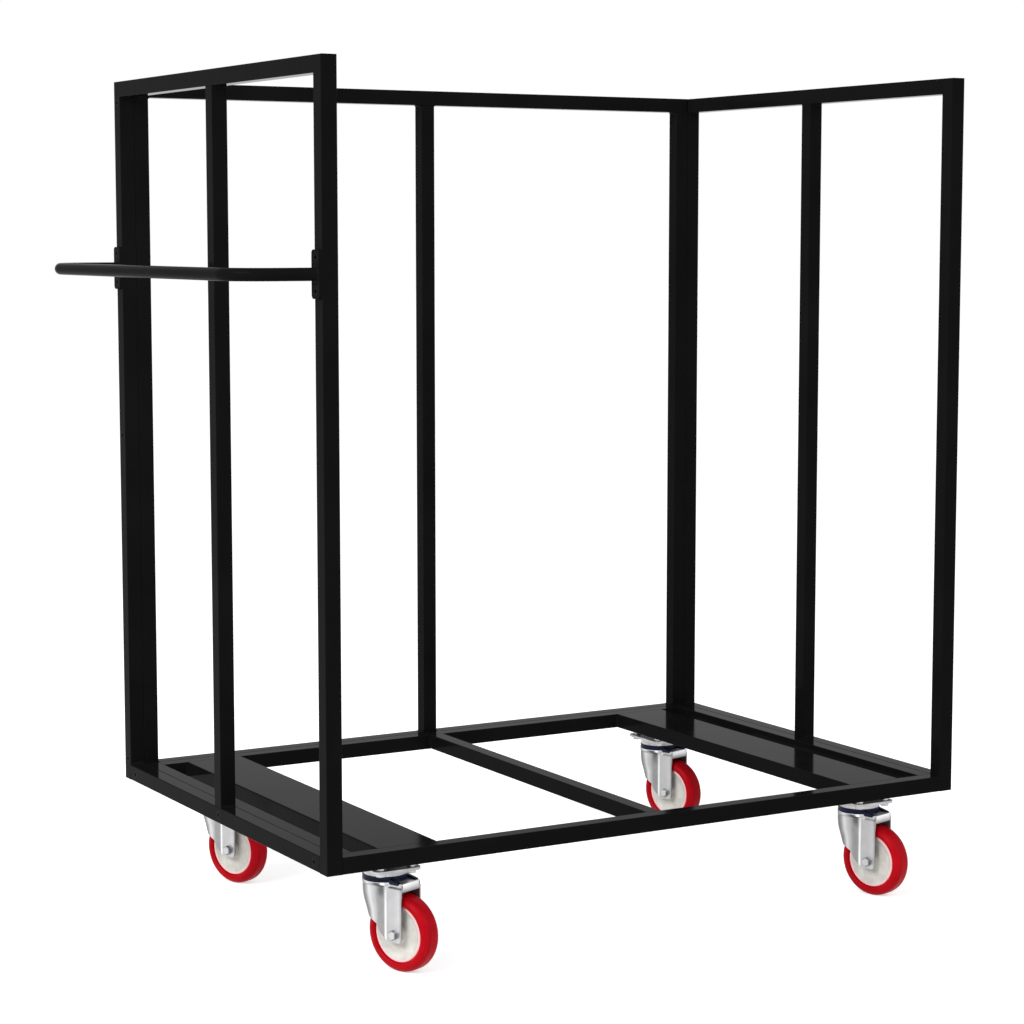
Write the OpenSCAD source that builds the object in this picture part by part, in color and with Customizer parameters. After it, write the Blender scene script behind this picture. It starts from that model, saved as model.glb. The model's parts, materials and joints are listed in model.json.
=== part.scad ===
// Banquet table trolley: a bolted square-tube frame, open at the front, on four swivel castors,
// with a bent tube push handle on the left end. Millimetres, +Z up, +X to the right, +Y to the back.
// The origin lies on the floor, at the middle of the footprint.

/* [Frame] */
// Overall width of the frame, from one end frame's outer face to the other
frame_w = 1160; // [900:5:1500]
// Overall depth of the frame, from the open front to the back
frame_d = 790; // [600:5:1000]
// Height of the posts
frame_h = 1178; // [950:1:1500]
// Side of the square tube
tube_side = 25.4; // [22:0.2:32]
// Wall of the square tube
tube_wall = 1.6; // [1.2:0.1:2.5]
// Outer corner radius of the square tube
tube_corner = 1.2; // [1:0.1:4]

/* [Castor carriers] */
// Width of each flat box that carries two castors
carrier_w = 99; // [86:1:120]
// Distance from the frame's outer face to the middle of a carrier
carrier_x = 144; // [130:1:220]
// Wall of the carrier's box
carrier_wall = 2; // [1.5:0.1:3]

/* [Castor places] */
// Distance from the front of the base to the front castors' swivel axes
castor_inset = 78; // [78:1:120]
// How far outward of the carrier's middle the swivel axes stand
castor_outset = 10; // [0:1:10]
// Swivel angle of the left castors at rest, from straight forward towards the right
swivel_left = 22; // [0:1:40]
// Swivel angle of the right castors at rest, from straight forward towards the right
swivel_right = 16; // [0:1:40]

/* [Castor plate] */
// Width of the castor's top plate, along the frame's width
plate_x = 78; // [74:1:92]
// Length of the castor's top plate, along the frame's depth
plate_y = 94; // [92:1:104]
// Thickness of the castor's top plate
plate_t = 4; // [3:0.5:6]
// Corner radius of the castor's top plate
plate_corner = 9; // [4:0.5:12]
// Spacing of the plate's bolt holes along the width
plate_hole_x = 52; // [46:1:52]
// Spacing of the plate's bolt holes along the depth
plate_hole_y = 72; // [70:1:76]
// Length of the spacer sleeves between a carrier and a castor plate
sleeve_h = 13; // [6:1:24]
// Diameter of the spacer sleeves
sleeve_d = 14; // [11:0.5:15]

/* [Castor] */
// Height of a castor from the floor to the top of its plate
castor_h = 158.5; // [156:0.5:170]
// Horizontal distance from the swivel axis to the axle
castor_trail = 36; // [34:1:42]
// Diameter of the wheel
wheel_d = 118; // [106:1:119]
// Width of the tyre
tyre_w = 34; // [30:1:38]
// Radius of the tyre's rounded shoulders
tyre_shoulder = 11; // [4:0.5:14]
// Diameter of the hub inside the tyre
hub_d = 87; // [70:1:92]
// Width of the hub's rim
hub_rim_w = 27; // [23:1:30]
// Width of the hub's rim ring in the radial direction
hub_rim = 4; // [3:0.5:8]
// Thickness of the hub's web
hub_web = 18; // [12:1:22]
// Diameter of the hub's boss
boss_d = 24; // [22:1:32]
// Diameter of the axle bolt
axle_d = 10; // [8:0.5:11]
// Radius of the swivel head
head_r = 35; // [34:0.5:36]
// Thickness of the fork's sheet metal
fork_sheet = 2.5; // [2:0.25:3.5]
// Width of the fork's legs
leg_w = 29; // [24:1:34]
// How far the legs' pressed strips stand out
strip_t = 2; // [1:0.25:3]
// Depth of the fork's lip over the tyre
lip_h = 13; // [8:1:14]
// How far the fork's cheeks reach ahead of the swivel axis
cheek_lead = 26; // [22:0.5:27]
// Width of the seal's tabs, which drop into the legs' notches
tab_w = 20; // [12:0.5:21]
// How far the seal's tabs drop below the crown
tab_drop = 7; // [3:0.5:9]
// Height of the seal's tabs above the crown
tab_rise = 6; // [3:0.5:6]
// Height of the swivel's seal ring
seal_h = 8.2; // [7:0.2:10]
// Diameter of the swivel's bearing balls
ball_d = 6; // [5:0.1:6]
// Number of bearing balls in each swivel
ball_count = 18; // [8:1:22]
// Diameter of the kingpin
kingpin_d = 12; // [10:0.5:14]

/* [Handle] */
// Outside diameter of the handle's tube
handle_d = 19; // [16:0.5:24]
// Wall of the handle's tube
handle_wall = 1.5; // [1:0.1:2.5]
// Distance from the frame's outer face to the middle of the handle's bar
handle_reach = 123; // [90:1:180]
// Bend radius of the handle, at the tube's middle line
handle_bend = 64; // [40:1:75]
// Height of the handle above the bottom of the frame
handle_z = 870; // [700:1:950]
// Thickness of the handle's plates
handle_plate_t = 5; // [3:0.5:8]
// Height of the handle's plates
handle_plate_h = 70; // [64:1:90]
// Width of the handle's plates
handle_plate_w = 25; // [20:0.5:25]
// Corner radius of the handle's plates
handle_plate_corner = 6; // [2:0.5:8]
// Spacing of the two bolts in a handle plate
handle_bolt_gap = 48; // [42:1:52]

/* [Fasteners] */
// Diameter of the frame's bolts
bolt_d = 8; // [6:0.5:9]
// Diameter of the frame bolts' flush countersunk heads
bolt_head_d = 16; // [13:0.5:17]
// Distance across flats of the frame bolts' hexagon sockets
bolt_socket = 5; // [4:0.5:5.5]
// Depth of the frame bolts' hexagon sockets
bolt_socket_depth = 3; // [1.5:0.25:4]
// Distance across flats of the frame's nuts
nut_flats = 13; // [11:0.5:15]
// Height of the frame's nuts
nut_h = 6.5; // [5:0.1:8]
// Distance of the end bolts from a frame's corner, along the bottom rails
bolt_end = 45; // [36:1:70]
// Distance of the end bolts from the top and bottom, along the rear posts
bolt_rise = 35; // [30:1:70]
// Diameter of the castor bolts
castor_bolt_d = 8; // [6:0.5:8]
// Distance across flats of the castor bolts' heads and nuts
castor_bolt_flats = 13; // [11:0.5:13]
// Height of the castor bolts' heads
castor_bolt_head_h = 5.3; // [4:0.1:6]
// Distance across flats of the axle bolt's head and nut
axle_flats = 14; // [13:0.5:17]
// Height of the axle bolt's head and nut
axle_head_h = 6.4; // [5:0.1:8]

/* [Fits] */
// Radial clearance of a bolt in its hole
hole_clear = 0.25; // [0.1:0.05:0.5]
// Radial clearance of a countersunk head in its seat
seat_clear = 0.1; // [0.05:0.05:0.2]
// Radial clearance of a nut on its bolt
thread_clear = 0.05; // [0.03:0.01:0.1]
// Radial running clearance of the wheels and swivels
run_clear = 0.05; // [0.02:0.01:0.1]
// Gap between faces that move past each other
face_gap = 0.3; // [0.3:0.1:0.6]
// Gap between each end of the hub's boss and the fork
boss_gap = 0.5; // [0.3:0.1:1]
// Gap round the seal's tabs in the fork's notches
tab_gap = 0.2; // [0.1:0.05:0.4]
// Gap between the tyre and the fork's cheeks
tyre_gap = 1.5; // [1.5:0.25:3]

/* [Hidden] */
$fn = 96;
eps = 0.01;
cut = 2;

// Colours, as the photograph shows them
frame_black = [0.10, 0.10, 0.11];
zinc = [0.74, 0.75, 0.76];
seal_blue = [0.07, 0.08, 0.26];
tyre_red = [0.70, 0.05, 0.07];
hub_cream = [0.88, 0.86, 0.82];

// Heights of a castor's pieces below the top of its plate
cup_h = 8.7;
race_h = 2.2;
crown_top = -(plate_t + cup_h + face_gap + seal_h);
crown_t = fork_sheet + 0.5;
race_z = -(plate_t + cup_h + race_h);
ball_z = (crown_top + race_z) / 2;
ball_ring = head_r - 10;
ball_r = min(ball_d / 2, (race_z - crown_top) / 2 - face_gap);
wheel_r = wheel_d / 2;
hub_r = hub_d / 2;
tyre_round = min(tyre_shoulder, tyre_w / 2 - 1, wheel_r - hub_r - 1);
axle_z = wheel_r - castor_h;
fork_in = tyre_w / 2 + tyre_gap;
fork_out = fork_in + fork_sheet;
strip_out = fork_out + strip_t;
leg_end = axle_flats / 2 + 5;
leg_back = castor_trail + leg_w / 2;
leg_front = castor_trail - leg_w / 2;
seal_out = head_r - 0.4;
seal_wall = 3.2;
kingpin_head_r = kingpin_d * 0.9;
kingpin_head_h = 6;
bowl_drop = 53;

// Places in the frame's own corner coordinates: left outer face x = 0, front y = 0, bottom z = 0
x_left = carrier_x - castor_outset;
x_right = frame_w - x_left;
base_d = frame_d - tube_side;
y_front = castor_inset;
y_rear = base_d - castor_inset;
castor_xy = [[x_left, y_front], [x_right, y_front], [x_left, y_rear], [x_right, y_rear]];
swivel_rest = [swivel_left, swivel_right, swivel_left, swivel_right];
lift = castor_h + sleeve_h;

// Depth of the countersunk heads, whose sides slope at 45 degrees
bolt_head_depth = (bolt_head_d - bolt_d) / 2;

// The footprint's limits, which set the origin
function wheel_reach(a) = (castor_trail + wheel_r - tyre_round) * cos(a)
  + (tyre_w / 2 - tyre_round) * sin(a) + tyre_round;
x_min = -(handle_reach + handle_d / 2);
x_max = frame_w;
y_min = min(0, y_front - wheel_reach(swivel_left), y_front - wheel_reach(swivel_right));
y_max = frame_d;
x_mid = (x_min + x_max) / 2;
y_mid = (y_min + y_max) / 2;

// Bolt places: along the bottom rails and up the rear posts
rail_bolts = [bolt_end, frame_d / 2, frame_d - bolt_end];
post_bolts = [bolt_rise, frame_h / 2, frame_h - bolt_rise];
post_bolt_y = frame_d - tube_side / 2;
rail_bolt_z = tube_side / 2;
handle_ys = [tube_side / 2, frame_d - tube_side / 2];
plate_holes = [for (sx = [-1, 1], sy = [-1, 1]) [sx * plate_hole_x / 2, sy * plate_hole_y / 2]];

// Moves a piece from the frame's corner coordinates to the part's origin
module place() { translate([-x_mid, -y_mid, lift]) children(); }

// Rounded rectangle with one corner at the origin
module round_rect(w, h, r) {
  translate([r, 0]) square([w - 2 * r, h]);
  translate([0, r]) square([w, h - 2 * r]);
  for (x = [r, w - r], y = [r, h - r]) translate([x, y]) circle(r);
}

// Hollow box section along +Z, with one corner at the origin
module box_tube(w, h, len, wall, corner) {
  inner = max(corner - wall, 0.3);
  linear_extrude(len) difference() {
    round_rect(w, h, corner);
    translate([wall, wall]) round_rect(w - 2 * wall, h - 2 * wall, inner);
  }
}

// Square tube upright, along +X and along +Y, each from its lower left corner
module tube_z(len) { box_tube(tube_side, tube_side, len, tube_wall, tube_corner); }
module tube_x(len) { rotate([90, 0, 90]) tube_z(len); }
module tube_y(len) { translate([0, 0, tube_side]) rotate([-90, 0, 0]) tube_z(len); }

// Everything above, or below, the 45 degree joint line that falls from the corner at y = 0
module above_mitre(h) {
  translate([-cut, 0, h]) rotate([-45, 0, 0]) cube([tube_side + 2 * cut, 2 * tube_side, 2 * tube_side]);
}
module below_mitre(h) {
  translate([-cut, 0, h]) rotate([-45, 0, 0]) translate([0, 0, -2 * tube_side])
    cube([tube_side + 2 * cut, 2 * tube_side, 2 * tube_side]);
}

// A panel stands in the y-z plane, tube_side thick along x
module panel_post() {
  difference() {
    union() {
      tube_z(frame_h);
      translate([tube_corner / 2, tube_corner / 2, 0])
        cube([tube_side - tube_corner, tube_side - tube_corner, tube_wall]);
    }
    above_mitre(frame_h);
  }
}
module panel_far_post(span) { translate([0, span, 0]) mirror([0, 1, 0]) panel_post(); }
module panel_top_rail(span) {
  difference() {
    translate([0, 0, frame_h - tube_side]) tube_y(span);
    below_mitre(frame_h);
    translate([0, span, 0]) mirror([0, 1, 0]) below_mitre(frame_h);
  }
}
module panel_bottom_rail(span) { translate([0, tube_side, 0]) tube_y(span - 2 * tube_side); }
module panel_middle_post(span) {
  translate([0, (span - tube_side) / 2, tube_side]) tube_z(frame_h - 2 * tube_side);
}

// The three panels' places
module left_panel() { children(); }
module right_panel() { translate([frame_w, 0, 0]) mirror([1, 0, 0]) children(); }
module back_panel() { translate([tube_side, frame_d, 0]) rotate([0, 0, -90]) children(); }
back_span = frame_w - 2 * tube_side;

// Mirrors a left-hand set of shapes to both ends
module both_ends() {
  children();
  translate([frame_w, 0, 0]) mirror([1, 0, 0]) children();
}
module at_frame_bolts() {
  for (y = rail_bolts) translate([0, y, rail_bolt_z]) children();
  for (z = post_bolts) translate([0, post_bolt_y, z]) children();
}
module at_handle_bolts() {
  for (y = handle_ys, s = [-1, 1]) translate([0, y, handle_z + s * handle_bolt_gap / 2]) children();
}
module rod_x(r, from, to) { translate([from, 0, 0]) rotate([0, 90, 0]) cylinder(r = r, h = to - from); }
module hex_x(flats, from, to) {
  translate([from, 0, 0]) rotate([0, 90, 0]) cylinder(d = flats / cos(30), h = to - from, $fn = 6);
}
// Countersunk hole along +X whose mouth is at x = 0; it widens outward at the head's own slope
module bolt_hole(to) {
  rod_x(bolt_d / 2 + hole_clear, -cut, to);
  translate([-cut, 0, 0]) rotate([0, 90, 0])
    cylinder(r1 = bolt_head_d / 2 + cut + seat_clear, r2 = bolt_d / 2 + seat_clear,
        h = bolt_head_depth + cut);
}
// The tube's wall is pressed inwards round each countersink
module dimple() { rod_x(bolt_head_d / 2 + 0.5, tube_wall / 2, bolt_head_depth + tube_wall / 2); }
module frame_bolt_holes() { both_ends() at_frame_bolts() bolt_hole(tube_side + tube_wall + cut); }
module handle_bolt_holes() {
  at_handle_bolts() translate([-handle_plate_t, 0, 0]) bolt_hole(handle_plate_t + tube_wall + cut);
}

// Countersunk bolt along +X, flush at x = 0
module flush_bolt(grip) {
  difference() {
    union() {
      rotate([0, 90, 0]) cylinder(d1 = bolt_head_d, d2 = bolt_d, h = bolt_head_depth);
      rod_x(bolt_d / 2, bolt_head_depth - eps, grip);
    }
    hex_x(bolt_socket, -cut, bolt_socket_depth);
  }
}
module nut_x() {
  difference() {
    hex_x(nut_flats, 0, nut_h);
    rod_x(bolt_d / 2 + thread_clear, -cut, nut_h + cut);
  }
}

// Base frame
module base_front_rail() {
  color(frame_black) place() translate([tube_side, 0, 0]) tube_x(frame_w - 2 * tube_side);
}
module base_rear_rail() {
  color(frame_black) place()
    translate([2 * tube_side, base_d - tube_side, 0]) tube_x(frame_w - 4 * tube_side);
}
module base_side_rail() {
  difference() {
    translate([tube_side, tube_side, 0]) tube_y(base_d - tube_side);
    frame_bolt_holes();
  }
}
module base_left_rail() { color(frame_black) place() base_side_rail(); }
module base_right_rail() { color(frame_black) place() right_panel() base_side_rail(); }
module base_centre_rail() {
  color(frame_black) place()
    translate([(frame_w - tube_side) / 2, tube_side, 0]) tube_y(base_d - 2 * tube_side);
}
module carrier(x) {
  difference() {
    translate([x - carrier_w / 2, tube_side, tube_side]) rotate([-90, 0, 0])
      box_tube(carrier_w, tube_side, base_d - 2 * tube_side, carrier_wall, tube_corner);
    at_castors() at_plate_holes()
      translate([0, 0, -cut]) cylinder(d = castor_bolt_d + 2 * hole_clear, h = cut + carrier_wall + cut);
  }
}
module left_castor_carrier() { color(frame_black) place() carrier(carrier_x); }
module right_castor_carrier() { color(frame_black) place() carrier(frame_w - carrier_x); }

// End frames and back frame
module drilled() {
  difference() {
    children();
    frame_bolt_holes();
  }
}
module rail_dimples() { for (y = rail_bolts) translate([0, y, rail_bolt_z]) dimple(); }
module post_dimples() { for (z = post_bolts) translate([0, post_bolt_y, z]) dimple(); }
module handle_drilled() {
  difference() {
    children();
    handle_bolt_holes();
  }
}
module left_front_post() { color(frame_black) place() handle_drilled() left_panel() panel_post(); }
module left_middle_post() { color(frame_black) place() left_panel() panel_middle_post(frame_d); }
module left_rear_post() {
  color(frame_black) place() handle_drilled() drilled() left_panel() {
    panel_far_post(frame_d);
    post_dimples();
  }
}
module left_top_rail() { color(frame_black) place() left_panel() panel_top_rail(frame_d); }
module left_bottom_rail() {
  color(frame_black) place() drilled() left_panel() {
    panel_bottom_rail(frame_d);
    rail_dimples();
  }
}
module right_front_post() { color(frame_black) place() right_panel() panel_post(); }
module right_middle_post() { color(frame_black) place() right_panel() panel_middle_post(frame_d); }
module right_rear_post() {
  color(frame_black) place() drilled() right_panel() {
    panel_far_post(frame_d);
    post_dimples();
  }
}
module right_top_rail() { color(frame_black) place() right_panel() panel_top_rail(frame_d); }
module right_bottom_rail() {
  color(frame_black) place() drilled() right_panel() {
    panel_bottom_rail(frame_d);
    rail_dimples();
  }
}
module back_left_post() { color(frame_black) place() drilled() back_panel() panel_post(); }
module back_right_post() { color(frame_black) place() drilled() back_panel() panel_far_post(back_span); }
module back_centre_post() { color(frame_black) place() back_panel() panel_middle_post(back_span); }
module back_top_rail() { color(frame_black) place() back_panel() panel_top_rail(back_span); }
module back_bottom_rail() { color(frame_black) place() back_panel() panel_bottom_rail(back_span); }

// Push handle: two arms, two bends and a bar, one bent tube
module handle_solid(r) {
  arm = handle_reach - handle_bend - handle_plate_t;
  bar = handle_ys[1] - handle_ys[0] - 2 * handle_bend;
  for (y = handle_ys) translate([-handle_plate_t - arm, y, handle_z]) rod_x(r, 0, arm);
  translate([-handle_reach, handle_ys[0] + handle_bend, handle_z])
    rotate([-90, 0, 0]) cylinder(r = r, h = bar);
  translate([handle_bend - handle_reach, handle_ys[0] + handle_bend, handle_z])
    rotate([0, 0, 180]) rotate_extrude(angle = 90) translate([handle_bend, 0]) circle(r);
  translate([handle_bend - handle_reach, handle_ys[1] - handle_bend, handle_z])
    rotate([0, 0, 90]) rotate_extrude(angle = 90) translate([handle_bend, 0]) circle(r);
}
module handle_tube() {
  color(frame_black) place() difference() {
    handle_solid(handle_d / 2);
    handle_solid(handle_d / 2 - handle_wall);
  }
}
module handle_plate(y) {
  handle_drilled() translate([-handle_plate_t, y - handle_plate_w / 2, handle_z - handle_plate_h / 2])
    rotate([90, 0, 90]) linear_extrude(handle_plate_t)
      round_rect(handle_plate_w, handle_plate_h, handle_plate_corner);
}
module handle_front_plate() { color(frame_black) place() handle_plate(handle_ys[0]); }
module handle_rear_plate() { color(frame_black) place() handle_plate(handle_ys[1]); }

// Bolts and nuts of the frame and the handle; the nuts sit inside the tubes
frame_grip = tube_side + tube_wall + nut_h + 1.5;
handle_grip = handle_plate_t + tube_wall + nut_h + 1.5;
module frame_bolts() { color(frame_black) place() both_ends() at_frame_bolts() flush_bolt(frame_grip); }
module frame_nuts() {
  color(zinc) place() both_ends() at_frame_bolts() translate([tube_side + tube_wall, 0, 0]) nut_x();
}
module handle_bolts() {
  color(frame_black) place() at_handle_bolts() translate([-handle_plate_t, 0, 0]) flush_bolt(handle_grip);
}
module handle_nuts() { color(zinc) place() at_handle_bolts() translate([tube_wall, 0, 0]) nut_x(); }

// Castors: fixed pieces, in coordinates whose origin is the top of the plate on the swivel axis
module at_castors() { for (c = castor_xy) translate([c[0], c[1], 0]) children(); }
module at_plate_holes() { for (h = plate_holes) translate([h[0], h[1], 0]) children(); }
module castor_sleeves() {
  color(zinc) place() at_castors() at_plate_holes() translate([0, 0, -sleeve_h]) difference() {
    cylinder(d = sleeve_d, h = sleeve_h);
    translate([0, 0, -cut]) cylinder(d = castor_bolt_d + 2 * hole_clear, h = sleeve_h + 2 * cut);
  }
}
module plate_shape() {
  difference() {
    union() {
      translate([-plate_x / 2, -plate_y / 2, -plate_t]) linear_extrude(plate_t)
        round_rect(plate_x, plate_y, plate_corner);
      translate([0, 0, -plate_t - cup_h]) cylinder(r = head_r - 1.5, h = cup_h + eps);
      translate([0, 0, race_z]) cylinder(r = seal_out - seal_wall - face_gap * 2, h = race_h + eps);
    }
    at_plate_holes() translate([0, 0, -plate_t - cut])
      cylinder(d = castor_bolt_d + 2 * hole_clear, h = plate_t + 2 * cut);
    translate([0, 0, race_z - cut]) cylinder(d = kingpin_d, h = 40);
  }
}
module castor_plates() { color(zinc) place() at_castors() translate([0, 0, -sleeve_h]) plate_shape(); }
kingpin_seat = crown_top - crown_t - face_gap;
module castor_kingpins() {
  color(zinc) place() at_castors() translate([0, 0, -sleeve_h]) {
    translate([0, 0, kingpin_seat - eps]) cylinder(d = kingpin_d, h = eps - kingpin_seat);
    translate([0, 0, kingpin_seat - kingpin_head_h]) cylinder(r = kingpin_head_r, h = kingpin_head_h);
  }
}
module swivel_balls() {
  color(zinc) place() at_castors() translate([0, 0, ball_z - sleeve_h])
    for (i = [0 : ball_count - 1]) rotate([0, 0, i * 360 / ball_count])
      translate([ball_ring, 0, 0]) sphere(ball_r);
}
castor_grip = plate_t + sleeve_h + carrier_wall + nut_h + 1.5;
module castor_bolts() {
  color(zinc) place() at_castors() at_plate_holes() translate([0, 0, -sleeve_h - plate_t]) {
    translate([0, 0, -castor_bolt_head_h])
      cylinder(d = castor_bolt_flats / cos(30), h = castor_bolt_head_h, $fn = 6);
    translate([0, 0, -eps]) cylinder(d = castor_bolt_d, h = castor_grip + eps);
  }
}
module castor_nuts() {
  color(zinc) place() at_castors() at_plate_holes() translate([0, 0, carrier_wall]) difference() {
    cylinder(d = castor_bolt_flats / cos(30), h = nut_h, $fn = 6);
    translate([0, 0, -cut]) cylinder(d = castor_bolt_d + 2 * thread_clear, h = nut_h + 2 * cut);
  }
}

// Castors: turning pieces; local +x is the trailing direction, local y the axle
module swivel(i) {
  place() translate([castor_xy[i][0], castor_xy[i][1], -sleeve_h])
    rotate([0, 0, swivel_rest[i] - 90]) children();
}
module on_axle() { translate([castor_trail, 0, axle_z]) rotate([90, 0, 0]) children(); }
module rod_axle(r, from, to) { on_axle() translate([0, 0, from]) cylinder(r = r, h = to - from); }

// The bowl's radius shrinks smoothly below the crown
function bowl_r(d) = head_r - (d < 14 ? 0 : 13 * pow((d - 14) / (bowl_drop - 14), 2));
bowl_steps = [for (i = [0 : 8]) i == 0 ? 0 : 8 + (bowl_drop - 8) * i / 8];
module bowl() {
  rotate_extrude() polygon(concat(
    [for (d = bowl_steps) [bowl_r(d), crown_top - d]],
    [for (i = [8 : -1 : 0]) [bowl_r(bowl_steps[i]) - fork_sheet, crown_top - bowl_steps[i]]]));
}
cheek_drop = axle_z - leg_end;
// The cheek's leading edge sweeps back from the swivel head to the foot of the leg
cheek_tip = leg_front + 6;
function cheek_edge(s) = [-cheek_lead + (cheek_tip + cheek_lead) * pow(s, 2.6),
  crown_top + (cheek_drop - crown_top) * s];
module cheek_outline() {
  polygon(concat([for (i = [0 : 10]) cheek_edge(i / 10)],
    [[leg_back - 9, cheek_drop], [leg_back - 3, cheek_drop + 3], [leg_back, cheek_drop + 9],
      [leg_back, crown_top]]));
}
module strip_outline() {
  difference() {
    union() {
      translate([leg_front, cheek_drop]) round_rect(leg_w, crown_top - cheek_drop, 9);
      translate([leg_front, crown_top - 12]) square([leg_w, 12]);
    }
    translate([castor_trail - tab_w / 2 - tab_gap, crown_top - tab_drop - tab_gap])
      square([tab_w + 2 * tab_gap, tab_drop + tab_gap + cut]);
  }
}
module upright(y0, t) { translate([0, y0 + t, 0]) rotate([90, 0, 0]) linear_extrude(t) children(); }
module fork_shape() {
  difference() {
    union() {
      translate([0, 0, crown_top - crown_t]) cylinder(r = head_r, h = crown_t);
      translate([0, -fork_out, crown_top - crown_t]) cube([leg_back, 2 * fork_out, crown_t]);
      intersection() {
        bowl();
        translate([-2 * head_r, -fork_out - 3, crown_top - 2 * bowl_drop])
          cube([2 * head_r + leg_front, 2 * fork_out + 6, 2 * bowl_drop]);
      }
      upright(-fork_out, fork_sheet) cheek_outline();
      upright(fork_in, fork_sheet) cheek_outline();
      upright(-strip_out, strip_t + eps) strip_outline();
      upright(fork_out - eps, strip_t + eps) strip_outline();
      translate([leg_back - fork_sheet, -fork_out, crown_top - lip_h])
        cube([fork_sheet, 2 * fork_out, lip_h]);
    }
    translate([0, 0, crown_top - crown_t - cut])
      cylinder(r = kingpin_d / 2 + run_clear, h = crown_t + 2 * cut);
    rod_axle(axle_d / 2 + hole_clear, -strip_out - cut, strip_out + cut);
    rod_axle(wheel_r + 1.5, -fork_in, fork_in);
    for (s = [0, 1]) mirror([0, s, 0])
      translate([castor_trail - tab_w / 2 - tab_gap, -head_r - cut, crown_top - tab_drop - tab_gap])
        cube([tab_w + 2 * tab_gap, head_r + cut - fork_out, tab_drop + tab_gap + cut]);
  }
}
// Seal ring with a groove round it; an arm on each side carries a tab down over the leg
module seal_shape() {
  arm_in = fork_out - 4;
  difference() {
    union() {
      difference() {
        translate([0, 0, crown_top]) cylinder(r = seal_out, h = seal_h);
        translate([0, 0, crown_top + seal_h * 0.45]) difference() {
          cylinder(r = seal_out + cut, h = seal_h * 0.2);
          translate([0, 0, -cut]) cylinder(r = seal_out - 1.2, h = seal_h * 0.2 + 2 * cut);
        }
      }
      for (s = [0, 1]) mirror([0, s, 0]) {
        translate([leg_front - 6, -strip_out, crown_top])
          cube([castor_trail + tab_w / 2 - leg_front + 6, strip_out - arm_in, tab_rise]);
        translate([castor_trail - tab_w / 2, -strip_out, crown_top - tab_drop])
          cube([tab_w, strip_t - tab_gap / 2, tab_drop + eps]);
      }
    }
    translate([0, 0, crown_top - cut]) cylinder(r = seal_out - seal_wall, h = seal_h + 2 * cut);
  }
}
module axle_bolt_shape() {
  rod_axle(axle_d / 2, -strip_out - axle_head_h - 2, strip_out + eps);
  on_axle() translate([0, 0, strip_out]) cylinder(d = axle_flats / cos(30), h = axle_head_h, $fn = 6);
}
module axle_nut_shape() {
  difference() {
    on_axle() translate([0, 0, -strip_out - axle_head_h])
      cylinder(d = axle_flats / cos(30), h = axle_head_h, $fn = 6);
    rod_axle(axle_d / 2 + thread_clear, -strip_out - axle_head_h - cut, -strip_out + cut);
  }
}
module hub_shape() {
  boss = fork_in - boss_gap;
  rim_in = hub_r - hub_rim;
  on_axle() rotate_extrude() difference() {
    polygon([[0, -boss], [boss_d / 2, -boss], [boss_d / 2, -hub_web / 2], [rim_in - 4, -hub_web / 2],
      [rim_in, -hub_rim_w / 2], [hub_r, -hub_rim_w / 2], [hub_r, hub_rim_w / 2], [rim_in, hub_rim_w / 2],
      [rim_in - 4, hub_web / 2], [boss_d / 2, hub_web / 2], [boss_d / 2, boss], [0, boss]]);
    translate([-cut, -boss - cut]) square([axle_d / 2 + run_clear + cut, 2 * boss + 2 * cut]);
  }
}
module tyre_shape() {
  s = tyre_round;
  on_axle() rotate_extrude() {
    translate([hub_r, -tyre_w / 2]) square([wheel_r - hub_r - s, tyre_w]);
    translate([wheel_r - s - eps, s - tyre_w / 2]) square([s + eps, tyre_w - 2 * s]);
    for (k = [-1, 1]) translate([wheel_r - s, k * (tyre_w / 2 - s)]) intersection() {
      circle(s);
      translate([0, k > 0 ? 0 : -s]) square([s, s]);
    }
  }
}

module front_left_fork() { color(zinc) swivel(0) fork_shape(); }
module front_left_seal() { color(seal_blue) swivel(0) seal_shape(); }
module front_left_axle_bolt() { color(zinc) swivel(0) axle_bolt_shape(); }
module front_left_axle_nut() { color(zinc) swivel(0) axle_nut_shape(); }
module front_left_hub() { color(hub_cream) swivel(0) hub_shape(); }
module front_left_tyre() { color(tyre_red) swivel(0) tyre_shape(); }
module front_right_fork() { color(zinc) swivel(1) fork_shape(); }
module front_right_seal() { color(seal_blue) swivel(1) seal_shape(); }
module front_right_axle_bolt() { color(zinc) swivel(1) axle_bolt_shape(); }
module front_right_axle_nut() { color(zinc) swivel(1) axle_nut_shape(); }
module front_right_hub() { color(hub_cream) swivel(1) hub_shape(); }
module front_right_tyre() { color(tyre_red) swivel(1) tyre_shape(); }
module rear_left_fork() { color(zinc) swivel(2) fork_shape(); }
module rear_left_seal() { color(seal_blue) swivel(2) seal_shape(); }
module rear_left_axle_bolt() { color(zinc) swivel(2) axle_bolt_shape(); }
module rear_left_axle_nut() { color(zinc) swivel(2) axle_nut_shape(); }
module rear_left_hub() { color(hub_cream) swivel(2) hub_shape(); }
module rear_left_tyre() { color(tyre_red) swivel(2) tyre_shape(); }
module rear_right_fork() { color(zinc) swivel(3) fork_shape(); }
module rear_right_seal() { color(seal_blue) swivel(3) seal_shape(); }
module rear_right_axle_bolt() { color(zinc) swivel(3) axle_bolt_shape(); }
module rear_right_axle_nut() { color(zinc) swivel(3) axle_nut_shape(); }
module rear_right_hub() { color(hub_cream) swivel(3) hub_shape(); }
module rear_right_tyre() { color(tyre_red) swivel(3) tyre_shape(); }

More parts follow.
